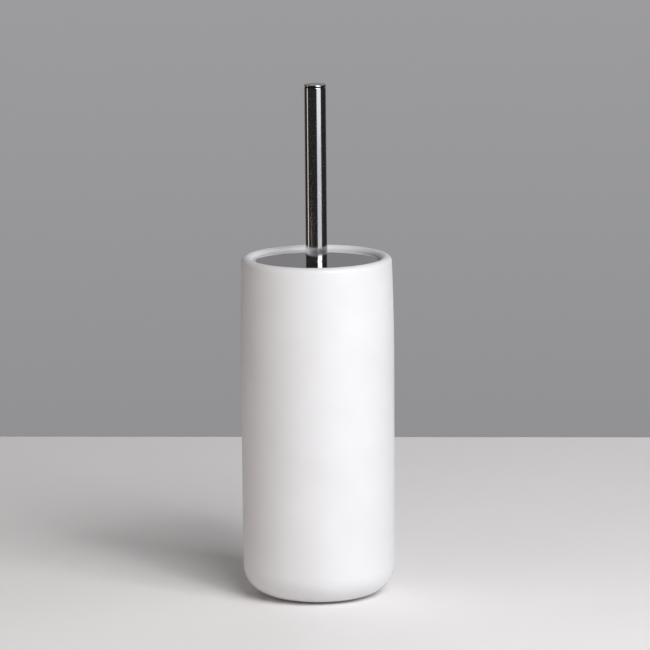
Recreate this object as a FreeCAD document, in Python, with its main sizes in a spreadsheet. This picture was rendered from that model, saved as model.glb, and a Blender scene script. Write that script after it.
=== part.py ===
import FreeCAD, Part
import math
import os

import Sketcher
from FreeCAD import Placement, Rotation, Vector

# Toilet brush holder: a ceramic canister, and a brush whose lid, handle, stem and head hang in it.
# Millimetres. +Z is up, and the origin is the middle of the face that the holder stands on.

DIMENSIONS = {
    # canister
    "foot_gap": 1.0,
    "base_rounding": 22.0,
    "base_radius": 56.0,
    "wall_radius": 56.5,
    "shoulder_height": 178.0,
    "shoulder_rounding": 1830.0,
    "lip_radius": 51.1,
    "lip_outer_rounding": 4.1,
    "lip_inner_rounding": 3.7,
    "rim_height": 252.3,
    "cavity_radius": 50.0,
    "cavity_rounding": 14.0,
    "floor_thickness": 8.0,
    "ledge_radius": 42.5,
    "ledge_thickness": 6.0,
    "ledge_rounding": 1.0,
    "recess_radius": 24.0,
    "recess_depth": 1.5,
    # feet
    "pad_radius": 4.5,
    "pad_circle": 29.0,
    "pad_rounding": 0.35,
    # lid
    "lid_depth": 2.9,
    "lid_radius": 45.0,
    "lid_thickness": 1.5,
    "lid_rounding": 0.5,
    "cushion_thickness": 1.0,
    "cushion_radius": 44.2,
    "cushion_bore": 39.9,
    "cushion_rounding": 0.3,
    "skirt_radius": 41.9,
    "skirt_depth": 5.5,
    "skirt_rounding": 0.8,
    "rest_gap": 0.1,
    # handle and stem
    "total_height": 379.2,
    "handle_radius": 8.0,
    "handle_wall": 1.0,
    "handle_rounding": 0.4,
    "cap_thickness": 1.1,
    "cap_seam": 0.8,
    "seam_depth": 0.8,
    "cap_rounding": 0.4,
    "cap_plug_length": 9.0,
    "plug_length": 18.0,
    "plug_rounding": 0.5,
    "fit_play": 0.02,
    "stem_radius": 7.0,
    "stem_wall": 1.0,
    "stem_rounding": 0.3,
    "stud_radius": 3.0,
    "stud_play": 0.05,
    "stud_clearance": 0.2,
    "stud_reach": 14.0,
    "stud_rounding": 0.6,
    "washer_radius": 12.0,
    "washer_thickness": 1.5,
    "washer_rounding": 0.3,
    # brush head
    "core_radius": 12.0,
    "core_height": 56.0,
    "core_length": 70.0,
    "core_shoulder": 3.0,
    "head_washer_radius": 7.0,
    "head_washer_thickness": 1.2,
    "spigot_radius": 4.0,
    "spigot_play": 0.06,
    "spigot_clearance": 0.2,
    "spigot_engaged": 12.0,
    "spigot_seated": 20.0,
    "spigot_room": 2.0,
    # bristles
    "band_thickness": 0.6,
    "band_width": 4.4,
    "first_row": 2.5,
    "row_pitch": 8.0,
    "row_reach": 36.0,
    "tip_reach": 32.0,
    "tuft_root": 1.6,
    "tuft_flare": 3.6,
    "tip_flare": 3.0,
}

PAD_ANGLES = (45.0, 135.0, 225.0, 315.0)
ROWS = 8
TUFTS_IN_ROW = 16
TIP_RINGS = ((35.0, 14), (62.0, 8), (90.0, 1))  # degrees below the horizontal, tufts


class Size:
    """A length that knows its number and its formula in the sheet."""

    def __init__(self, number, formula):
        self.number = number
        self.formula = formula

    def __add__(self, other):
        return Size(self.number + other.number, f"({self.formula} + {other.formula})")

    def __sub__(self, other):
        return Size(self.number - other.number, f"({self.formula} - {other.formula})")

    def __mul__(self, factor):
        return Size(self.number * factor, f"{self.formula} * {factor}")


ZERO = Size(0.0, "0")


class Outline:
    """A closed outline in a vertical plane, as corners (r, z) joined by lines and arcs."""

    def __init__(self, r, z):
        self.corners = [(r, z)]
        self.bends = []

    def line(self, r, z):
        """A straight edge to (r, z)."""
        self.corners.append((r, z))
        self.bends.append(None)
        return self

    def left(self, radius, r, z):
        """An arc to (r, z) that turns left, so its centre is on the left."""
        self.corners.append((r, z))
        self.bends.append((radius, 1.0))
        return self

    def right(self, radius, r, z):
        """An arc to (r, z) that turns right."""
        self.corners.append((r, z))
        self.bends.append((radius, -1.0))
        return self

    def draw(self, sketch):
        """Draws the outline in a sketch, with each corner and radius bound to the sheet."""
        self.bends.append(None)
        count = len(self.corners)
        spots = [Vector(r.number, z.number, 0) for r, z in self.corners]
        starts = []
        for n, bend in enumerate(self.bends):
            start, end = spots[n], spots[(n + 1) % count]
            edge = Part.LineSegment(start, end) if bend is None else arc_between(start, end, bend)
            sketch.addGeometry(edge, False)
            backwards = bend is not None and bend[1] < 0
            starts.append(2 if backwards else 1)
        for n, bend in enumerate(self.bends):
            after = (n + 1) % count
            tie = Sketcher.Constraint("Coincident", n, 3 - starts[n], after, starts[after])
            sketch.addConstraint(tie)
            if bend is not None:
                hold(sketch, Sketcher.Constraint("Radius", n, bend[0].number), bend[0])
        for n, (r, z) in enumerate(self.corners):
            hold_corner(sketch, "DistanceX", n, starts[n], r)
            hold_corner(sketch, "DistanceY", n, starts[n], z)


def arc_between(start, end, bend):
    """The short arc from start to end with the bend's radius, turning to the bend's side."""
    radius, side = bend[0].number, bend[1]
    chord = end - start
    along = Vector(chord).normalize()
    across = Vector(-along.y, along.x, 0) * side
    height = math.sqrt(max(radius**2 - (chord.Length / 2) ** 2, 0.0))
    centre = (start + end) * 0.5 + across * height
    first, last = (start, end) if side > 0 else (end, start)
    angles = [math.atan2(spot.y - centre.y, spot.x - centre.x) for spot in (first, last)]
    return Part.ArcOfCircle(Part.Circle(centre, Vector(0, 0, 1), radius), *angles)


def hold(sketch, constraint, size):
    """Adds a constraint and binds it to the sheet."""
    index = sketch.addConstraint(constraint)
    sketch.setExpression(f"Constraints[{index}]", size.formula)


def hold_corner(sketch, kind, edge, point, size):
    """Holds a corner at a distance from one of the sketch's axes, or on that axis."""
    if size is ZERO:
        axis = -2 if kind == "DistanceX" else -1
        sketch.addConstraint(Sketcher.Constraint("PointOnObject", edge, point, axis))
    else:
        hold(sketch, Sketcher.Constraint(kind, -1, 1, edge, point, size.number), size)


def make_sheet(doc):
    """Writes the driving dimensions into the sheet, and returns them as sizes by name."""
    sheet = doc.addObject("Spreadsheet::Sheet", "Sizes")
    sizes = {}
    for row, (alias, number) in enumerate(DIMENSIONS.items(), start=1):
        sheet.set(f"A{row}", alias)
        sheet.set(f"B{row}", str(number))
        sheet.setAlias(f"B{row}", alias)
        sizes[alias] = Size(number, f"Sizes.{alias}")
    doc.recompute()
    return sizes


def make_body(doc, name):
    """An empty body whose label names its file."""
    body = doc.addObject("PartDesign::Body", name)
    body.Label = name
    return body


def origin_part(body, role):
    """One of the body's own origin planes or axes."""
    return next(part for part in body.Origin.OriginFeatures if part.Role == role)


def plane_sketch(body, name, role="XZ_Plane", tilt=0.0):
    """A sketch on one of the body's origin planes, turned in that plane by tilt degrees."""
    sketch = body.newObject("Sketcher::SketchObject", name)
    sketch.AttachmentSupport = [(origin_part(body, role), "")]
    sketch.MapMode = "FlatFace"
    sketch.AttachmentOffset = Placement(Vector(), Rotation(Vector(0, 0, 1), tilt))
    return sketch


def revolve(body, sketch, name, axis="V_Axis"):
    """Turns a sketch a whole turn about one of its own axes."""
    turn = body.newObject("PartDesign::Revolution", name)
    turn.Profile = sketch
    turn.ReferenceAxis = (sketch, [axis])
    turn.Angle = 360.0
    return turn


def turned(doc, name, outline):
    """A body turned about the Z axis from its outline."""
    body = make_body(doc, name)
    sketch = plane_sketch(body, f"{name}_outline")
    outline.draw(sketch)
    revolve(body, sketch, f"{name}_turned")
    return body


def ring(inner, outer, bottom, top, rounding):
    """The outline of a ring or tube whose outer edges are rounded."""
    return (
        Outline(inner, bottom)
        .line(outer - rounding, bottom)
        .left(rounding, outer, bottom + rounding)
        .line(outer, top - rounding)
        .left(rounding, outer - rounding, top)
        .line(inner, top)
    )


def rod(outer, bottom, top, rounding):
    """The outline of a solid rod whose edges are rounded."""
    return ring(ZERO, outer, bottom, top, rounding)


def blind_plug(outer, bottom, top, rounding, bore, bore_top):
    """The outline of a plug with a blind bore that opens downwards."""
    return (
        Outline(bore, bottom)
        .line(outer - rounding, bottom)
        .left(rounding, outer, bottom + rounding)
        .line(outer, top - rounding)
        .left(rounding, outer - rounding, top)
        .line(ZERO, top)
        .line(ZERO, bore_top)
        .line(bore, bore_top)
    )


def levels(s):
    """Heights that several pieces share."""
    lid_top = s["rim_height"] - s["lid_depth"]
    lid_bottom = lid_top - s["lid_thickness"]
    cushion_top = lid_bottom - s["rest_gap"]
    head_top = s["core_height"] + s["core_length"]
    head_washer_bottom = head_top + s["rest_gap"]
    return {
        "lid_top": lid_top,
        "lid_bottom": lid_bottom,
        "cushion_top": cushion_top,
        "ledge_top": cushion_top - s["cushion_thickness"] - s["rest_gap"],
        "stem_top": lid_bottom - s["washer_thickness"],
        "stem_bottom": head_washer_bottom + s["head_washer_thickness"] + s["rest_gap"],
        "head_washer_bottom": head_washer_bottom,
        "head_top": head_top,
    }


def holder_body(doc, s, at):
    """The canister: rounded base, slightly barrelled wall, full-round lip and a ledge for the lid."""
    base = s["foot_gap"]
    floor = base + s["floor_thickness"]
    recess = base + s["recess_depth"]
    wall_start = base + s["base_rounding"]
    lip_outside = s["lip_radius"] + s["lip_outer_rounding"]
    mouth = s["lip_radius"] - s["lip_inner_rounding"]
    ledge_bottom = at["ledge_top"] - s["ledge_thickness"]
    slope = s["cavity_radius"] - s["ledge_radius"]
    edge = s["ledge_rounding"]
    cavity_start = floor + s["cavity_rounding"]
    outline = (
        Outline(ZERO, recess)
        .line(s["recess_radius"], recess)
        .line(s["recess_radius"], base)
        .line(s["base_radius"] - s["base_rounding"], base)
        .left(s["base_rounding"], s["base_radius"], wall_start)
        .line(s["wall_radius"], s["shoulder_height"])
        .left(s["shoulder_rounding"], lip_outside, s["rim_height"] - s["lip_outer_rounding"])
        .left(s["lip_outer_rounding"], s["lip_radius"], s["rim_height"])
        .left(s["lip_inner_rounding"], mouth, s["rim_height"] - s["lip_inner_rounding"])
        .line(mouth, at["ledge_top"])
        .line(s["ledge_radius"] + edge, at["ledge_top"])
        .left(edge, s["ledge_radius"], at["ledge_top"] - edge)
        .line(s["ledge_radius"], ledge_bottom)
        .line(s["cavity_radius"], ledge_bottom - slope)
        .line(s["cavity_radius"], cavity_start)
        .right(s["cavity_rounding"], s["cavity_radius"] - s["cavity_rounding"], floor)
        .line(ZERO, floor)
    )
    return [turned(doc, "holder_body", outline)]


def foot_pads(doc, s, at):
    """Four round pads under the base, which the holder stands on."""
    pads = []
    for number, angle in enumerate(PAD_ANGLES, start=1):
        pad = turned(
            doc,
            f"foot_pad_{number}",
            Outline(ZERO, ZERO)
            .line(s["pad_radius"] - s["pad_rounding"], ZERO)
            .left(s["pad_rounding"], s["pad_radius"], s["pad_rounding"])
            .line(s["pad_radius"], s["foot_gap"])
            .line(ZERO, s["foot_gap"]),
        )
        pad.setExpression("Placement.Base.x", f"Sizes.pad_circle * cos({angle})")
        pad.setExpression("Placement.Base.y", f"Sizes.pad_circle * sin({angle})")
        pads.append(pad)
    return pads


def lid_cushion(doc, s, at):
    """A soft ring that the lid rests on, with a skirt that centres it in the ledge's opening."""
    top = at["cushion_top"]
    bottom = top - s["cushion_thickness"]
    small, large = s["cushion_rounding"], s["skirt_rounding"]
    skirt_bottom = bottom - s["skirt_depth"]
    outline = (
        Outline(s["cushion_bore"], skirt_bottom)
        .line(s["skirt_radius"] - large, skirt_bottom)
        .left(large, s["skirt_radius"], skirt_bottom + large)
        .line(s["skirt_radius"], bottom)
        .line(s["cushion_radius"] - small, bottom)
        .left(small, s["cushion_radius"], bottom + small)
        .line(s["cushion_radius"], top - small)
        .left(small, s["cushion_radius"] - small, top)
        .line(s["cushion_bore"], top)
    )
    return [turned(doc, "lid_cushion", outline)]


def lid(doc, s, at):
    """The disc that closes the mouth, and the washer that clamps it from below."""
    bore = s["stud_radius"] + s["stud_clearance"]
    disc = ring(bore, s["lid_radius"], at["lid_bottom"], at["lid_top"], s["lid_rounding"])
    washer = ring(bore, s["washer_radius"], at["stem_top"], at["lid_bottom"], s["washer_rounding"])
    return [turned(doc, "lid_disc", disc), turned(doc, "clamp_washer", washer)]


def handle(doc, s, at):
    """The tube above the lid, its threaded insert, and its end cap with a narrow groove below it."""
    outside = s["handle_radius"]
    bore = outside - s["handle_wall"]
    plug = bore - s["fit_play"]
    plug_edge = s["plug_rounding"]
    neck = outside - s["seam_depth"]
    cap_bottom = s["total_height"] - s["cap_thickness"]
    tube_top = cap_bottom - s["cap_seam"]
    cap_plug_bottom = tube_top - s["cap_plug_length"]
    tube = ring(bore, outside, at["lid_top"], tube_top, s["handle_rounding"])
    insert = ring(
        s["stud_radius"] + s["stud_play"],
        plug,
        at["lid_top"],
        at["lid_top"] + s["plug_length"],
        plug_edge,
    )
    cap = (
        Outline(ZERO, cap_plug_bottom)
        .line(plug - plug_edge, cap_plug_bottom)
        .left(plug_edge, plug, cap_plug_bottom + plug_edge)
        .line(plug, tube_top)
        .line(neck, tube_top)
        .line(neck, cap_bottom)
        .line(outside, cap_bottom)
        .line(outside, s["total_height"] - s["cap_rounding"])
        .left(s["cap_rounding"], outside - s["cap_rounding"], s["total_height"])
        .line(ZERO, s["total_height"])
    )
    return [
        turned(doc, "handle_tube", tube),
        turned(doc, "handle_insert", insert),
        turned(doc, "handle_end_cap", cap),
    ]


def stem(doc, s, at):
    """The stud through the lid, and the thinner tube below it with a plug in each end."""
    stud = rod(
        s["stud_radius"],
        at["stem_top"] - s["stud_reach"],
        at["lid_top"] + s["stud_reach"],
        s["stud_rounding"],
    )
    bore = s["stem_radius"] - s["stem_wall"]
    tube = ring(bore, s["stem_radius"], at["stem_bottom"], at["stem_top"], s["stem_rounding"])
    plug = bore - s["fit_play"]
    top_plug = ring(
        s["stud_radius"] + s["stud_play"],
        plug,
        at["stem_top"] - s["plug_length"],
        at["stem_top"],
        s["plug_rounding"],
    )
    bottom_plug = blind_plug(
        plug,
        at["stem_bottom"],
        at["stem_bottom"] + s["plug_length"],
        s["plug_rounding"],
        s["spigot_radius"],
        at["stem_bottom"] + s["spigot_engaged"] + s["spigot_room"],
    )
    return [
        turned(doc, "lid_stud", stud),
        turned(doc, "stem_tube", tube),
        turned(doc, "stem_top_plug", top_plug),
        turned(doc, "stem_bottom_plug", bottom_plug),
    ]


def head_washer(doc, s, at):
    """The soft washer between the stem and the brush head."""
    bottom = at["head_washer_bottom"]
    top = bottom + s["head_washer_thickness"]
    bore = s["spigot_radius"] + s["spigot_clearance"]
    washer = ring(bore, s["head_washer_radius"], bottom, top, s["washer_rounding"])
    return [turned(doc, "head_washer", washer)]


def head_core(doc, s, at):
    """The moulded core with a domed lower end, and the spigot that screws into the stem."""
    top = at["head_top"]
    seat = top - s["spigot_seated"]
    spigot = s["spigot_radius"] - s["spigot_play"]
    outline = (
        Outline(ZERO, s["core_height"] - s["core_radius"])
        .left(s["core_radius"], s["core_radius"], s["core_height"])
        .line(s["core_radius"], top - s["core_shoulder"])
        .line(s["core_radius"] - s["core_shoulder"], top)
        .line(spigot, top)
        .line(spigot, seat)
        .line(ZERO, seat)
    )
    stud = rod(spigot, seat, at["stem_bottom"] + s["spigot_engaged"], s["stud_rounding"])
    return [turned(doc, "brush_core", outline), turned(doc, "head_stud", stud)]


def tuft(body, name, s, tilt, reach, flare):
    """One tuft: a cone that leaves the axis of the core at tilt degrees and widens outwards."""
    sketch = plane_sketch(body, f"{name}_outline", tilt=tilt)
    root = s["core_radius"] + s["band_thickness"] * 0.5
    cone = Outline(root, ZERO).line(reach, ZERO).line(reach, flare).line(root, s["tuft_root"])
    cone.draw(sketch)
    return revolve(body, sketch, name, axis="H_Axis")


def repeat_round(body, feature, name, count):
    """Repeats a feature evenly about the body's Z axis."""
    pattern = body.newObject("PartDesign::PolarPattern", name)
    pattern.Originals = [feature]
    pattern.Axis = (origin_part(body, "Z_Axis"), [""])
    pattern.Angle = 360.0
    pattern.Occurrences = count
    body.Tip = pattern


def bristle_rows(doc, s, at):
    """Rows of tufts round the core, each on a thin band, with every second row turned half a step."""
    rows = []
    for number in range(ROWS):
        name = f"bristle_row_{number + 1}"
        body = make_body(doc, name)
        flat = plane_sketch(body, f"{name}_circles", role="XY_Plane")
        for size in (s["core_radius"], s["core_radius"] + s["band_thickness"]):
            circle = flat.addGeometry(Part.Circle(Vector(), Vector(0, 0, 1), size.number), False)
            flat.addConstraint(Sketcher.Constraint("Coincident", circle, 3, -1, 1))
            hold(flat, Sketcher.Constraint("Radius", circle, size.number), size)
        band = body.newObject("PartDesign::Pad", f"{name}_band")
        band.Profile = flat
        band.SideType = "Symmetric"
        band.setExpression("Length", s["band_width"].formula)
        one = tuft(body, f"{name}_tuft", s, 0.0, s["row_reach"], s["tuft_flare"])
        repeat_round(body, one, f"{name}_tufts", TUFTS_IN_ROW)
        height = s["core_height"] + s["first_row"] + s["row_pitch"] * number
        body.setExpression("Placement.Base.z", height.formula)
        half_step = 180.0 / TUFTS_IN_ROW * (number % 2)
        body.Placement.Rotation = Rotation(Vector(0, 0, 1), half_step)
        rows.append(body)
    return rows


def bristle_tip(doc, s, at):
    """Rings of tufts round the core's domed end, on a thin cap. The body is drawn upside down."""
    body = make_body(doc, "bristle_tip")
    inside = s["core_radius"]
    outside = inside + s["band_thickness"]
    cap = (
        Outline(ZERO, inside)
        .right(inside, inside, ZERO)
        .line(outside, ZERO)
        .left(outside, ZERO, outside)
    )
    sketch = plane_sketch(body, "tip_cap_outline")
    cap.draw(sketch)
    revolve(body, sketch, "tip_cap")
    for number, (angle, count) in enumerate(TIP_RINGS, start=1):
        one = tuft(body, f"tip_tuft_{number}", s, angle, s["tip_reach"], s["tip_flare"])
        if count > 1:
            repeat_round(body, one, f"tip_ring_{number}", count)
    body.Placement.Rotation = Rotation(Vector(1, 0, 0), 180.0)
    body.setExpression("Placement.Base.z", s["core_height"].formula)
    return [body]


def check_document(doc, bodies):
    """Stops if a feature failed or a sub-part has no valid solid."""
    for thing in doc.Objects:
        if {"Invalid", "Error"} & set(thing.State):
            raise RuntimeError(f"{thing.Name} failed: {thing.State}")
    for body in bodies:
        if body.Shape.isNull() or not body.Shape.isValid() or len(body.Shape.Solids) != 1:
            raise RuntimeError(f"{body.Label} has no single valid solid")


def main():
    doc = FreeCAD.newDocument("toilet_brush_holder")
    sizes = make_sheet(doc)
    at = levels(sizes)
    bodies = []
    for maker in (
        holder_body,
        foot_pads,
        lid_cushion,
        lid,
        handle,
        stem,
        head_washer,
        head_core,
        bristle_rows,
        bristle_tip,
    ):
        bodies += maker(doc, sizes, at)
    doc.recompute()
    check_document(doc, bodies)
    os.makedirs("parts", exist_ok=True)
    for body in bodies:
        body.Shape.exportStep(f"parts/{body.Label}.step")
        print(f"{body.Label}: {body.Shape.Volume / 1000:.2f} cm3")


main()
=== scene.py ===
import math
import random

import bpy
from mathutils import Matrix, Vector


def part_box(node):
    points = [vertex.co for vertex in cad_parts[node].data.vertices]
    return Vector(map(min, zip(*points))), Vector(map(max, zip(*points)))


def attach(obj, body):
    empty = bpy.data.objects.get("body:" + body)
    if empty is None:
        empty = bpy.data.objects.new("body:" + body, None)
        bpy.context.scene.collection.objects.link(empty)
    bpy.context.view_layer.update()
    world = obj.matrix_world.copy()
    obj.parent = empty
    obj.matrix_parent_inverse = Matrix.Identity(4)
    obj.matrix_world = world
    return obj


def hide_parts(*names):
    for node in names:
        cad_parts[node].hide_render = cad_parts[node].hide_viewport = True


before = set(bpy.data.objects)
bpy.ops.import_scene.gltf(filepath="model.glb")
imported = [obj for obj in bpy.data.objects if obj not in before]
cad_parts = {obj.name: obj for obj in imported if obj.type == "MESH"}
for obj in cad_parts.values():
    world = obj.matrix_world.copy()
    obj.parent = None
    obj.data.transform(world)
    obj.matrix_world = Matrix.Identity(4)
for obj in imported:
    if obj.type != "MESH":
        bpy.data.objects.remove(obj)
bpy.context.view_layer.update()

# Toilet brush holder: a matt glazed canister with a steel lid, handle and brush.
# Lengths are in millimetres in the part's own frame, and MM turns them into Blender's metres.

MM = 0.001
FINE = 256
COARSE = 64


# ---------------------------------------------------------------- geometry helpers


class Outline:
    """The points (r, z) of a section, from straight runs and arcs, anticlockwise."""

    def __init__(self, r, z):
        self.points = [(r, z)]

    def line(self, r, z, steps=1):
        """A straight run to (r, z)."""
        start, end = Vector(self.points[-1]), Vector((r, z))
        for step in range(1, steps + 1):
            self.points.append(tuple(start.lerp(end, step / steps)))
        return self

    def arc(self, radius, r, z, steps):
        """An arc to (r, z). It turns left, or right where the radius is negative."""
        start, end = Vector(self.points[-1]), Vector((r, z))
        chord = end - start
        side = math.copysign(1.0, radius)
        across = Vector((-chord.y, chord.x)).normalized() * side
        height = math.sqrt(max(radius**2 - chord.length_squared / 4, 0.0))
        centre = (start + end) / 2 + across * height
        turn = 2 * side * math.asin(min(chord.length / 2 / abs(radius), 1.0))
        for step in range(1, steps + 1):
            spoke = Matrix.Rotation(turn * step / steps, 2) @ (start - centre)
            self.points.append(tuple(centre + spoke))
        return self


def add_mesh(name, points, faces, sharp=35.0):
    """A smooth shaded mesh whose edges over `sharp` degrees stay crisp. The points are in metres."""
    mesh = bpy.data.meshes.new(name)
    mesh.from_pydata(points, [], faces)
    mesh.shade_smooth()
    mesh.set_sharp_from_angle(angle=math.radians(sharp))
    piece = bpy.data.objects.new(name, mesh)
    bpy.context.scene.collection.objects.link(piece)
    return piece


def lathe(name, outline, segments=FINE, centre=(0.0, 0.0), reach=None, sharp=35.0):
    """A closed section turned about a vertical axis. reach(angle, r, z) may change the radius."""
    points, faces, rings = [], [], []
    for r, z in outline.points:
        start = len(points)
        on_axis = r < 1e-6
        for n in range(1 if on_axis else segments):
            angle = 2 * math.pi * n / segments
            far = reach(angle, r, z) if reach and not on_axis else r
            x = centre[0] + far * math.cos(angle)
            y = centre[1] + far * math.sin(angle)
            points.append((x * MM, y * MM, z * MM))
        rings.append([start if on_axis else start + n for n in range(segments)])
    for low, high in zip(rings, rings[1:] + rings[:1]):
        for n in range(segments):
            after = (n + 1) % segments
            corners = dict.fromkeys((low[n], low[after], high[after], high[n]))
            if len(corners) > 2:
                faces.append(tuple(corners))
    return add_mesh(name, points, faces, sharp)


def dress(piece, finish, body, stands_for=()):
    """Gives a piece its finish and its body, and hides the CAD nodes it stands for."""
    piece.data.materials.clear()
    piece.data.materials.append(finish)
    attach(piece, body)
    if stands_for:
        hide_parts(*stands_for)
    return piece


def span(node):
    """The largest radius, the lowest z and the highest z of a turned CAD node, in millimetres."""
    low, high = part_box(node)
    return high.x / MM, low.z / MM, high.z / MM


# ---------------------------------------------------------------- finishes


class Finish:
    """A node material. Sizes are in millimetres, in the part's own frame."""

    def __init__(self, name, **constants):
        self.material = bpy.data.materials.new(name)
        self.material.use_nodes = True
        self.tree = self.material.node_tree
        self.shader = self.tree.nodes["Principled BSDF"]
        self.place = self.node("ShaderNodeTexCoord").outputs["Object"]
        self.normal = None
        for socket, value in constants.items():
            self.shader.inputs[socket.replace("_", " ")].default_value = value

    def node(self, kind, inputs=None, **settings):
        """A node with its settings, and its inputs linked to sockets or set to values."""
        made = self.tree.nodes.new(kind)
        for setting, value in settings.items():
            setattr(made, setting, value)
        for key, value in (inputs or {}).items():
            if isinstance(value, bpy.types.NodeSocket):
                self.tree.links.new(value, made.inputs[key])
            else:
                made.inputs[key].default_value = value
        return made

    def grain(self, size, detail=3.0, stretch=(1.0, 1.0, 1.0), place=None):
        """Noise from 0 to 1 whose features are about `size` across, times `stretch` along each axis."""
        scale = [1.0 / (size * MM * s) for s in stretch]
        spread = self.node(
            "ShaderNodeVectorMath",
            {0: place or self.place, 1: scale},
            operation="MULTIPLY",
        )
        noise = self.node("ShaderNodeTexNoise", {"Vector": spread.outputs[0]})
        noise.inputs["Scale"].default_value = 1.0
        noise.inputs["Detail"].default_value = detail
        return noise.outputs["Fac"]

    def specks(self, size, share):
        """1 in rare round specks about `size` across, in `share` of their cells, and 0 elsewhere."""
        spread = self.node(
            "ShaderNodeVectorMath",
            {0: self.place, 1: [1.0 / (size * 5.0 * MM)] * 3},
            operation="MULTIPLY",
        )
        cells = self.node("ShaderNodeTexVoronoi", {"Vector": spread.outputs[0]})
        cells.inputs["Scale"].default_value = 1.0
        dot = self.fit(cells.outputs["Distance"], 0.1, 0.06, 0.0, 1.0)
        channels = self.node("ShaderNodeSeparateColor", {"Color": cells.outputs["Color"]})
        chosen = self.fit(channels.outputs[0], share, share * 0.98, 0.0, 1.0)
        return self.calculate("MULTIPLY", dot, chosen)

    def calculate(self, operation, first, second):
        return self.node("ShaderNodeMath", {0: first, 1: second}, operation=operation).outputs[0]

    def fit(self, value, start, end, low, high):
        """Maps start..end to low..high, and holds what lies outside."""
        inputs = {"Value": value, 1: start, 2: end, 3: low, 4: high}
        return self.node("ShaderNodeMapRange", inputs).outputs[0]

    def height(self):
        """The z of each place, in millimetres."""
        parts = self.node("ShaderNodeSeparateXYZ", {"Vector": self.place})
        return self.calculate("DIVIDE", parts.outputs["Z"], MM)

    def radius(self):
        """The distance of each place from the Z axis, in millimetres."""
        flat = self.node(
            "ShaderNodeVectorMath",
            {0: self.place, 1: (1.0, 1.0, 0.0)},
            operation="MULTIPLY",
        )
        far = self.node("ShaderNodeVectorMath", {0: flat.outputs[0]}, operation="LENGTH")
        return self.calculate("DIVIDE", far.outputs["Value"], MM)

    def tint(self, share, first, second):
        """A colour between two others, given as red, green and blue."""
        return self.over(share, (*first, 1.0), (*second, 1.0))

    def feed(self, socket, value):
        """Links a socket, or sets it."""
        if isinstance(value, bpy.types.NodeSocket):
            self.tree.links.new(value, socket)
        else:
            socket.default_value = value

    def over(self, share, below, above):
        """The colour `above` laid over the colour `below`, both sockets or colours."""
        mix = self.node("ShaderNodeMix", data_type="RGBA")
        self.feed(mix.inputs[0], share)
        self.feed(mix.inputs[6], below)
        self.feed(mix.inputs[7], above)
        return mix.outputs[2]

    def colour(self, value):
        self.feed(self.shader.inputs["Base Color"], value)
        return self

    def roughness(self, value):
        self.feed(self.shader.inputs["Roughness"], value)
        return self

    def relief(self, value, depth):
        """Bumps `depth` millimetres deep, on top of those already there."""
        inputs = {"Height": value, "Distance": depth * MM, "Strength": 1.0}
        if self.normal:
            inputs["Normal"] = self.normal
        self.normal = self.node("ShaderNodeBump", inputs).outputs["Normal"]
        self.feed(self.shader.inputs["Normal"], self.normal)
        return self


def matt_glaze(bare_radius, bare_top):
    """White matt glaze, with bare clay on the ring that the glaze leaves free under the base."""
    f = Finish("matt_white_glaze", IOR=1.5)
    cloudy = f.grain(38.0, 2.0)
    fine = f.grain(1.4, 4.0)
    specks = f.specks(0.22, 0.06)
    glaze = f.tint(f.fit(cloudy, 0.35, 0.65, 0.0, 1.0), (0.652, 0.652, 0.668), (0.676, 0.676, 0.692))
    glaze = f.over(f.calculate("MULTIPLY", specks, 0.35), glaze, (0.42, 0.40, 0.37, 1.0))
    low = f.fit(f.height(), bare_top - 0.25, bare_top + 0.25, 1.0, 0.0)
    near = f.fit(f.radius(), bare_radius - 0.4, bare_radius + 0.4, 1.0, 0.0)
    ragged = f.fit(f.grain(3.0), 0.3, 0.4, 0.0, 1.0)
    bare = f.calculate("MULTIPLY", f.calculate("MULTIPLY", low, near), ragged)
    clay = f.tint(f.grain(0.9, 5.0), (0.58, 0.52, 0.45), (0.70, 0.65, 0.58))
    f.colour(f.over(bare, glaze, clay))
    smooth = f.fit(f.grain(9.0, 3.0), 0.3, 0.7, 0.40, 0.50)
    f.roughness(f.calculate("MAXIMUM", smooth, f.calculate("MULTIPLY", bare, 0.9)))
    f.relief(f.grain(26.0, 1.0), 0.10)
    f.relief(fine, 0.010)
    f.relief(specks, -0.05)
    return f.material


def polished_steel(name, concentric=False, painted_shade_below=0.0):
    """Polished stainless steel, with faint lines left by drawing or turning, and faint smears.

    Below a given height it is rough and painted near black: painted shade for the groove under the end
    cap.
    """
    f = Finish(name, Metallic=1.0)
    if concentric:
        rings = f.node("ShaderNodeCombineXYZ", {"X": f.calculate("MULTIPLY", f.radius(), MM)})
        lines = f.grain(0.35, 4.0, place=rings.outputs[0])
        finest, coarsest = 0.02, 0.05
    else:
        lines = f.grain(0.35, 4.0, (1.0, 1.0, 80.0))
        finest, coarsest = 0.075, 0.115
    smears = f.grain(14.0, 4.0, (1.0, 1.0, 2.5))
    # Mask for the painted shade in the groove under the cap: near black colour and high roughness below
    # the given height.
    painted_groove_shade = f.fit(f.height(), painted_shade_below, painted_shade_below + 0.05, 1.0, 0.0)
    bright = f.tint(smears, (0.655, 0.65, 0.655), (0.70, 0.695, 0.70))
    f.colour(f.over(painted_groove_shade, bright, (0.02, 0.019, 0.018, 1.0)))
    worn = f.fit(smears, 0.35, 0.7, finest, coarsest)
    worn = f.calculate("ADD", worn, f.fit(lines, 0.4, 0.7, 0.0, 0.03))
    f.roughness(f.calculate("MAXIMUM", worn, f.calculate("MULTIPLY", painted_groove_shade, 0.7)))
    f.relief(lines, 0.0001)
    f.relief(f.grain(7.0, 1.0), 0.0015)
    return f.material


def plain_steel():
    """Turned steel on the studs, plugs and washer: duller, with closer tool marks."""
    f = Finish("turned_steel", Metallic=1.0)
    marks = f.grain(0.25, 3.0, (12.0, 12.0, 1.0))
    stains = f.grain(5.0, 4.0)
    f.colour(f.tint(stains, (0.50, 0.495, 0.49), (0.62, 0.615, 0.61)))
    f.roughness(f.fit(marks, 0.3, 0.7, 0.24, 0.42))
    f.relief(marks, 0.006)
    return f.material


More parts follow.
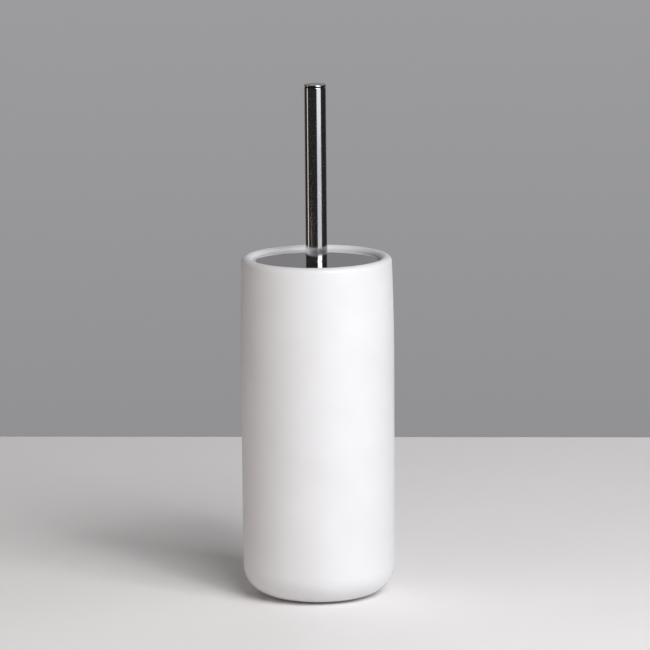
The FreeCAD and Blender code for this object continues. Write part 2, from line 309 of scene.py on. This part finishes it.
def soft_seal():
    """Milky soft plastic of the lid's cushion."""
    f = Finish("milky_soft_plastic", IOR=1.43, Subsurface_Weight=0.25, Subsurface_Scale=0.004)
    f.colour(f.tint(f.grain(11.0), (0.70, 0.70, 0.68), (0.80, 0.80, 0.785)))
    f.roughness(f.fit(f.grain(2.5, 4.0), 0.3, 0.7, 0.38, 0.55))
    f.relief(f.grain(0.5, 3.0), 0.01)
    return f.material


def dark_rubber(name, low, high):
    """Soft rubber with a fine moulded texture and a little dust."""
    f = Finish(name, IOR=1.5)
    dust = f.fit(f.grain(2.2, 5.0), 0.45, 0.75, 0.0, 1.0)
    f.colour(f.tint(dust, low, high))
    f.roughness(f.fit(f.grain(1.1), 0.3, 0.7, 0.62, 0.85))
    f.relief(f.grain(0.22, 3.0), 0.02)
    return f.material


def moulded_plastic():
    """White plastic of the brush's core, with a fine spark eroded texture."""
    f = Finish("white_moulded_plastic", IOR=1.49, Subsurface_Weight=0.08, Subsurface_Scale=0.003)
    f.colour(f.tint(f.grain(16.0), (0.78, 0.78, 0.765), (0.84, 0.84, 0.83)))
    f.roughness(f.fit(f.grain(1.8, 4.0), 0.3, 0.7, 0.26, 0.40))
    f.relief(f.grain(0.3, 2.0), 0.006)
    return f.material


def nylon():
    """White nylon filaments, each of its own tone, a little duller in patches."""
    f = Finish("white_nylon", IOR=1.53, Subsurface_Weight=0.15, Subsurface_Scale=0.001)
    each = f.node("ShaderNodeNewGeometry").outputs["Random Per Island"]
    tone = f.tint(each, (0.72, 0.725, 0.73), (0.86, 0.86, 0.85))
    f.colour(f.over(f.fit(f.grain(12.0), 0.45, 0.8, 0.0, 0.35), tone, (0.70, 0.69, 0.66, 1.0)))
    f.roughness(f.fit(f.grain(1.5, 3.0), 0.3, 0.7, 0.30, 0.46))
    f.relief(f.grain(0.2, 2.0, (1.0, 1.0, 4.0)), 0.004)
    return f.material


def pale_floor():
    """A plain pale matt surface to stand on."""
    f = Finish("pale_floor", IOR=1.45)
    f.colour(f.tint(f.grain(120.0, 5.0), (0.875, 0.853, 0.857), (0.905, 0.883, 0.887)))
    f.roughness(f.fit(f.grain(20.0, 4.0), 0.3, 0.7, 0.55, 0.7))
    f.relief(f.grain(2.0, 3.0), 0.02)
    return f.material


# ---------------------------------------------------------------- canister

BASE_ROUNDING = 22.0
BASE_RADIUS = 56.0
SHOULDER_HEIGHT = 178.0
SHOULDER_ROUNDING = 1830.0
LIP_RADIUS = 51.1
LIP_OUTER_ROUNDING = 4.1
LIP_INNER_ROUNDING = 3.7
CAVITY_RADIUS = 50.0
CAVITY_ROUNDING = 14.0
FLOOR_THICKNESS = 8.0
LEDGE_RADIUS = 42.5
LEDGE_THICKNESS = 6.0
LEDGE_ROUNDING = 1.0
LEDGE_BELOW_RIM = 5.6
RECESS_RADIUS = 24.0
RECESS_DEPTH = 1.5
RECESS_ROUNDING = 0.6
THROWN_WOBBLE = 0.12


def thrown(angle, r, z):
    """The radius with the slow unevenness of slip-cast and glazed ware, never over the true one."""
    wave = math.sin(2 * angle + z / 60) + 0.5 * math.sin(3 * angle - z / 41 + 1.3)
    return r - THROWN_WOBBLE * (1.5 + wave) / 3.0


def canister(glaze):
    wall_radius, base, rim = span("holder_body")
    floor = base + FLOOR_THICKNESS
    recess = base + RECESS_DEPTH
    flat = BASE_RADIUS - BASE_ROUNDING
    lip_outside = LIP_RADIUS + LIP_OUTER_ROUNDING
    mouth = LIP_RADIUS - LIP_INNER_ROUNDING
    ledge = rim - LEDGE_BELOW_RIM
    ledge_bottom = ledge - LEDGE_THICKNESS
    slope_end = ledge_bottom - (CAVITY_RADIUS - LEDGE_RADIUS)
    edge = LEDGE_ROUNDING
    curl = RECESS_ROUNDING
    outline = (
        Outline(0.0, recess)
        .line(RECESS_RADIUS - curl, recess, 4)
        .arc(-curl, RECESS_RADIUS, recess - curl, 4)
        .line(RECESS_RADIUS, base + curl / 2)
        .arc(curl / 2, RECESS_RADIUS + curl / 2, base, 4)
        .line(flat, base, 4)
        .arc(BASE_ROUNDING, BASE_RADIUS, base + BASE_ROUNDING, 28)
        .line(wall_radius, SHOULDER_HEIGHT, 24)
        .arc(SHOULDER_ROUNDING, lip_outside, rim - LIP_OUTER_ROUNDING, 14)
        .arc(LIP_OUTER_ROUNDING, LIP_RADIUS, rim, 14)
        .arc(LIP_INNER_ROUNDING, mouth, rim - LIP_INNER_ROUNDING, 12)
        .line(mouth, ledge + edge / 2)
        .arc(-edge / 2, mouth - edge / 2, ledge, 4)
        .line(LEDGE_RADIUS + edge, ledge, 2)
        .arc(edge, LEDGE_RADIUS, ledge - edge, 5)
        .line(LEDGE_RADIUS, ledge_bottom + edge)
        .arc(edge, LEDGE_RADIUS + edge * 0.3, ledge_bottom + edge * 0.3, 3)
        .line(CAVITY_RADIUS, slope_end)
        .line(CAVITY_RADIUS, floor + CAVITY_ROUNDING, 24)
        .arc(-CAVITY_ROUNDING, CAVITY_RADIUS - CAVITY_ROUNDING, floor, 12)
        .line(0.0, floor, 6)
    )
    piece = lathe("canister", outline, reach=thrown)
    dress(piece, glaze, "holder", ["holder_body"])


PAD_ROUNDING = 0.35
PAD_GROOVE = 2.6
PAD_GROOVE_DEPTH = 0.25


def foot_pads(rubber):
    """Four stick-on pads, each with a groove moulded in its face."""
    for number in range(1, 5):
        node = f"foot_pad_{number}"
        low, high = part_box(node)
        radius = (high.x - low.x) / 2 / MM
        top = high.z / MM
        centre = ((low.x + high.x) / 2 / MM, (low.y + high.y) / 2 / MM)
        half = PAD_GROOVE_DEPTH
        outline = (
            Outline(0.0, 0.0)
            .line(PAD_GROOVE - half, 0.0, 2)
            .arc(-half, PAD_GROOVE, half, 3)
            .arc(-half, PAD_GROOVE + half, 0.0, 3)
            .line(radius - PAD_ROUNDING, 0.0)
            .arc(PAD_ROUNDING, radius, PAD_ROUNDING, 5)
            .line(radius, top)
            .line(0.0, top)
        )
        piece = lathe(f"rubber_foot_{number}", outline, COARSE, centre)
        dress(piece, rubber, "holder", [node])


# ---------------------------------------------------------------- lid, handle and stem

CAP_THICKNESS = 1.1
CUSHION_RIBS = (1.4, 2.9, 4.4)
RIB_HEIGHT = 0.35
SKIRT_RADIUS = 41.9
CUSHION_WIDTH = 4.3
CUSHION_THICKNESS = 1.0
CUSHION_EDGE = 0.3


def lid_cushion(seal):
    """The soft ring under the lid, with three low ribs round its skirt."""
    radius, bottom, top = span("lid_cushion")
    flange = top - CUSHION_THICKNESS
    bore = radius - CUSHION_WIDTH
    skirt = SKIRT_RADIUS - RIB_HEIGHT
    edge = CUSHION_EDGE
    outline = Outline(bore, bottom)
    outline.line(skirt - 2 * edge, bottom).arc(2 * edge, skirt, bottom + 2 * edge, 4)
    for rib in CUSHION_RIBS:
        outline.line(skirt, bottom + rib - RIB_HEIGHT)
        outline.line(SKIRT_RADIUS, bottom + rib, 2)
        outline.line(skirt, bottom + rib + RIB_HEIGHT)
    outline.line(skirt, flange)
    outline.line(radius - edge, flange, 2).arc(edge, radius, flange + edge, 4)
    outline.line(radius, top - edge).arc(edge, radius - edge, top, 4)
    outline.line(bore, top, 2)
    piece = lathe("lid_seal", outline)
    dress(piece, seal, "cushion", ["lid_cushion"])


THREAD_PITCH = 2.0
THREAD_DEPTH = 0.5
THREAD_CHAMFER = 1.0
THREAD_STEPS = 200


def head_thread(steel):
    """The spigot that screws the brush head into the stem, with its real thread."""
    radius, bottom, top = span("head_stud")

    def threaded(angle, r, z):
        phase = (z / THREAD_PITCH - angle / (2 * math.pi)) % 1.0
        crest = 1.0 - min(abs(phase - 0.5) * 2.6, 1.0)
        ease = min((top - z) / THREAD_CHAMFER, 1.0)
        return min(r, radius - THREAD_DEPTH * (1.0 - crest * ease))

    outline = (
        Outline(0.0, bottom)
        .line(radius, bottom, 2)
        .line(radius, top - THREAD_CHAMFER / 2, THREAD_STEPS)
        .line(radius - THREAD_DEPTH * 2, top, 4)
        .line(0.0, top, 2)
    )
    piece = lathe("head_thread", outline, COARSE, reach=threaded, sharp=50.0)
    dress(piece, steel, "head", ["head_stud"])


def carried_over(finishes):
    """The CAD nodes whose shapes are final keep their meshes and get finishes."""
    for node, finish in finishes.items():
        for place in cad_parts[node].material_slots:
            place.material = finish


# ---------------------------------------------------------------- brush head

ROWS = 8
TUFTS_IN_ROW = 16
TIP_RINGS = ((35.0, 14), (62.0, 8), (90.0, 1))
CORE_HEIGHT = 56.0
CORE_RADIUS = 12.0
COLLAR_SIDES = 18
COLLAR_SECTION = ((1.75, -0.25), (1.7, 0.12), (1.5, 0.2), (1.38, 0.1), (1.38, -0.25))
ROOT_RADIUS = 1.35
FILAMENTS = 34
FILAMENT_RADIUS = 0.17
FILAMENT_JOINTS = 4
FILAMENT_SIDES = 3
ROW_REACH = 36.0
ROW_FLARE = 3.9
TIP_REACH = 32.0
TIP_FLARE = 3.0
TRIM = 0.7


def spread_over_disc(chance, count, radius):
    """Places spread over a disc in a sunflower's order, each a little out of place."""
    golden = math.pi * (3 - math.sqrt(5))
    for n in range(count):
        far = radius * math.sqrt((n + 0.5) / count)
        angle = n * golden + chance.uniform(-0.25, 0.25)
        yield far * math.cos(angle), far * math.sin(angle)


def add_filament(points, faces, root, tip, bow):
    """A thin tube from root to tip that bows sideways, with its cut end closed."""
    along = (tip - root).normalized()
    side = along.orthogonal().normalized()
    up = along.cross(side)
    start = len(points)
    for joint in range(FILAMENT_JOINTS):
        share = joint / (FILAMENT_JOINTS - 1)
        middle = root.lerp(tip, share) + bow * math.sin(math.pi * share)
        for corner in range(FILAMENT_SIDES):
            angle = 2 * math.pi * corner / FILAMENT_SIDES
            rim = side * math.cos(angle) + up * math.sin(angle)
            points.append((middle + rim * FILAMENT_RADIUS) * MM)
    for joint in range(FILAMENT_JOINTS - 1):
        low = start + joint * FILAMENT_SIDES
        for corner in range(FILAMENT_SIDES):
            after = (corner + 1) % FILAMENT_SIDES
            high = low + FILAMENT_SIDES
            faces.append((low + corner, low + after, high + after, high + corner))
    last = start + (FILAMENT_JOINTS - 1) * FILAMENT_SIDES
    faces.append(tuple(range(last, last + FILAMENT_SIDES)))
    faces.append(tuple(reversed(range(start, start + FILAMENT_SIDES))))


def add_tuft(points, faces, chance, centre, outwards, reach, flare):
    """A bundle of filaments pressed into the core at one hole, opening out to its trimmed end."""
    side = outwards.orthogonal().normalized()
    up = outwards.cross(side)
    roots = spread_over_disc(chance, FILAMENTS, ROOT_RADIUS)
    tips = spread_over_disc(chance, FILAMENTS, flare)
    for root, tip in zip(roots, tips):
        start = centre + outwards * (CORE_RADIUS - 0.5) + side * root[0] + up * root[1]
        length = reach - chance.uniform(0.0, TRIM)
        sideways = side * (tip[0] + chance.gauss(0, 0.25)) + up * (tip[1] + chance.gauss(0, 0.25))
        flat = math.sqrt(max(length**2 - sideways.length_squared, 0.0))
        end = centre + outwards * flat + sideways
        bow = side * chance.gauss(0, 0.3) + up * chance.gauss(0, 0.3)
        add_filament(points, faces, start, end, bow)


def add_collar(points, faces, centre, outwards):
    """The raised rim of a tuft's hole in the core, from its section (radius, height over the core)."""
    side = outwards.orthogonal().normalized()
    up = outwards.cross(side)
    start = len(points)
    for n in range(COLLAR_SIDES):
        angle = 2 * math.pi * n / COLLAR_SIDES
        rim = side * math.cos(angle) + up * math.sin(angle)
        for r, proud in COLLAR_SECTION:
            points.append((centre + outwards * (CORE_RADIUS + proud) + rim * r) * MM)
    count = len(COLLAR_SECTION)
    for n in range(COLLAR_SIDES):
        here, after = start + n * count, start + (n + 1) % COLLAR_SIDES * count
        for k in range(count):
            nxt = (k + 1) % count
            faces.append((here + k, after + k, after + nxt, here + nxt))


def tuft_places():
    """For each CAD bristle node, its tufts as (centre, outward direction, reach, flare)."""
    places = {}
    for row in range(ROWS):
        node = f"bristle_row_{row + 1}"
        low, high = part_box(node)
        centre = Vector((0.0, 0.0, (low.z + high.z) / 2 / MM))
        turn = 0.5 * (row % 2)
        angles = [2 * math.pi * (n + turn) / TUFTS_IN_ROW for n in range(TUFTS_IN_ROW)]
        places[node] = [
            (centre, Vector((math.cos(a), math.sin(a), 0.0)), ROW_REACH, ROW_FLARE) for a in angles
        ]
    tip = []
    for below, count in TIP_RINGS:
        drop = math.radians(below)
        for n in range(count):
            a = 2 * math.pi * n / count
            level = math.cos(drop)
            outwards = Vector((level * math.cos(a), level * math.sin(a), -math.sin(drop)))
            tip.append((Vector((0.0, 0.0, CORE_HEIGHT)), outwards, TIP_REACH, TIP_FLARE))
    places["bristle_tip"] = tip
    return places


def bristles(fibre, plastic):
    chance = random.Random(7)
    rims, rim_faces = [], []
    for node, tufts in tuft_places().items():
        points, faces = [], []
        for centre, outwards, reach, flare in tufts:
            add_tuft(points, faces, chance, centre, outwards, reach, flare)
            add_collar(rims, rim_faces, centre, outwards)
        piece = add_mesh(node.replace("bristle", "nylon"), points, faces, sharp=180.0)
        dress(piece, fibre, "head", [node])
    dress(add_mesh("tuft_collars", rims, rim_faces), plastic, "head")


# ---------------------------------------------------------------- studio


def softbox(name, azimuth, distance, low, high, width, power, colour, tilt=0.0):
    """A light at an azimuth to the right of the camera's side, upright or tilted down.

    Its places and sizes are in metres and its power is in watts.
    """
    light = bpy.data.lights.new(name, "AREA")
    light.shape = "RECTANGLE"
    light.size = width
    light.size_y = high - low
    light.energy = power
    light.color = colour
    lamp = bpy.data.objects.new(name, light)
    turn = math.radians(azimuth)
    lamp.location = (distance * math.sin(turn), -distance * math.cos(turn), (low + high) / 2)
    lamp.rotation_euler = (math.radians(90.0 - tilt), 0.0, turn)
    lamp.visible_camera = False
    bpy.context.scene.collection.objects.link(lamp)
    return lamp


def lights():
    """Soft lights up on the right, low fills that the steel doesn't show, and the steel's own lights.

    The steel's lights are a panel in three steps for its broad bright band and a narrow warm strip.
    """
    white, cool, warm = (1.0, 1.0, 1.0), (0.93, 0.965, 1.0), (1.0, 0.87, 0.76)
    softbox("key", 20.0, 1.9, 1.1, 2.3, 1.0, 30.5, white, tilt=35.0)
    softbox("key_right", 42.0, 1.9, 1.1, 2.3, 1.0, 28.0, white, tilt=35.0)
    softbox("back_top", 165.0, 1.5, 1.3, 2.3, 1.6, 4.0, white, tilt=45.0)
    low_fills = (
        softbox("fill_left", -55.0, 1.7, 0.05, 0.65, 1.2, 6.0, warm),
        softbox("fill_right", 78.0, 1.7, 0.05, 0.65, 1.2, 5.0, white),
        softbox("fill_back", 172.0, 1.7, 0.05, 0.65, 1.4, 4.0, white),
    )
    for fill in low_fills:
        fill.visible_glossy = False
    softbox("panel_foot", 38.0, 1.6, -0.35, 0.10, 1.3, 1.38, cool)
    softbox("panel_middle", 38.0, 1.6, 0.10, 0.35, 1.3, 1.15, cool)
    softbox("panel_top", 38.0, 1.6, 0.35, 0.75, 1.3, 3.76, cool)
    softbox("strip", -90.0, 1.6, -0.3, 0.45, 0.26, 0.67, warm)


ROOM_GREY, WALL_GREY = 0.025, 0.253
SEEN_LOW, SEEN_HIGH = 0.285, 0.335


def studio_room():
    """A grey wall that the steel reflects from behind the object, in a dark room.

    The camera itself sees a plain grey all round.
    """
    world = bpy.data.worlds.new("studio_room")
    bpy.context.scene.world = world
    world.use_nodes = True
    tree = world.node_tree
    nodes, link = tree.nodes, tree.links.new
    background = nodes["Background"]
    parts = nodes.new("ShaderNodeSeparateXYZ")
    link(nodes.new("ShaderNodeTexCoord").outputs["Generated"], parts.inputs[0])

    def shade(value, start, end, low, high):
        fit = nodes.new("ShaderNodeMapRange")
        link(value, fit.inputs["Value"])
        for key, number in zip((1, 2, 3, 4), (start, end, low, high)):
            fit.inputs[key].default_value = number
        return fit.outputs[0]

    wall = shade(parts.outputs["Y"], 0.72, 0.84, ROOM_GREY, WALL_GREY)
    seen = shade(parts.outputs["Z"], -0.205, -0.12, SEEN_LOW, SEEN_HIGH)
    choose = nodes.new("ShaderNodeMix")
    link(nodes.new("ShaderNodeLightPath").outputs["Is Camera Ray"], choose.inputs[0])
    link(wall, choose.inputs[2])
    link(seen, choose.inputs[3])
    grey = nodes.new("ShaderNodeCombineColor")
    for key, share in enumerate((1.0, 0.98, 1.02)):
        scaled = nodes.new("ShaderNodeMath")
        scaled.operation = "MULTIPLY"
        scaled.inputs[1].default_value = share
        link(choose.outputs[0], scaled.inputs[0])
        link(scaled.outputs[0], grey.inputs[key])
    link(grey.outputs[0], background.inputs["Color"])


FLOOR_FRONT, FLOOR_BACK, FLOOR_SIDE = -1.0, 0.567, 1.1
FLOOR_TURN = 2.8


def floor(finish):
    """A plain table top whose back edge shows behind the object."""
    turn = Matrix.Rotation(math.radians(-FLOOR_TURN), 3, "Z")
    corners = [
        (-FLOOR_SIDE, FLOOR_FRONT, 0.0),
        (FLOOR_SIDE, FLOOR_FRONT, 0.0),
        (FLOOR_SIDE, FLOOR_BACK, 0.0),
        (-FLOOR_SIDE, FLOOR_BACK, 0.0),
    ]
    top = add_mesh("floor", [turn @ Vector(c) for c in corners], [(0, 1, 2, 3)])
    top.data.materials.append(finish)


CAMERA_PLACE = Vector((0.0, -3.869, 0.916))
CAMERA_AIM = Vector((0.0058, 0.0, 0.2010))
CAMERA_ROLL = -0.487
CAMERA_LENS = 297.1


def camera():
    data = bpy.data.cameras.new("camera")
    data.lens = CAMERA_LENS
    data.sensor_width = 36.0
    data.clip_end = 50.0
    view = bpy.data.objects.new("camera", data)
    aim = (CAMERA_AIM - CAMERA_PLACE).to_track_quat("-Z", "Y").to_matrix()
    roll = Matrix.Rotation(math.radians(CAMERA_ROLL), 3, "Z")
    view.matrix_world = Matrix.Translation(CAMERA_PLACE) @ (aim @ roll).to_4x4()
    bpy.context.scene.collection.objects.link(view)
    bpy.context.scene.camera = view
    bpy.context.scene.view_settings.view_transform = "Standard"


# ---------------------------------------------------------------- assembly


def build():
    steel = plain_steel()
    tube_steel = polished_steel("polished_steel_tube")
    disc_steel = polished_steel("polished_steel_disc", concentric=True)
    cap_bottom = span("handle_end_cap")[2] - CAP_THICKNESS
    # The groove under the end cap, below cap_bottom, gets painted shade.
    cap_steel = polished_steel("polished_steel_cap", concentric=True, painted_shade_below=cap_bottom)
    plastic = moulded_plastic()
    canister(matt_glaze(bare_radius=37.0, bare_top=1.6))
    foot_pads(dark_rubber("foot_rubber", (0.045, 0.045, 0.047), (0.11, 0.105, 0.10)))
    lid_cushion(soft_seal())
    head_thread(steel)
    bristles(nylon(), plastic)
    carried_over(
        {
            "lid_disc": disc_steel,
            "handle_tube": tube_steel,
            "handle_end_cap": cap_steel,
            "stem_tube": tube_steel,
            "handle_insert": steel,
            "clamp_washer": steel,
            "lid_stud": steel,
            "stem_top_plug": steel,
            "stem_bottom_plug": steel,
            "head_washer": dark_rubber("black_washer", (0.02, 0.02, 0.02), (0.06, 0.06, 0.06)),
            "brush_core": plastic,
        }
    )


build()
camera()
studio_room()
lights()
floor(pale_floor())
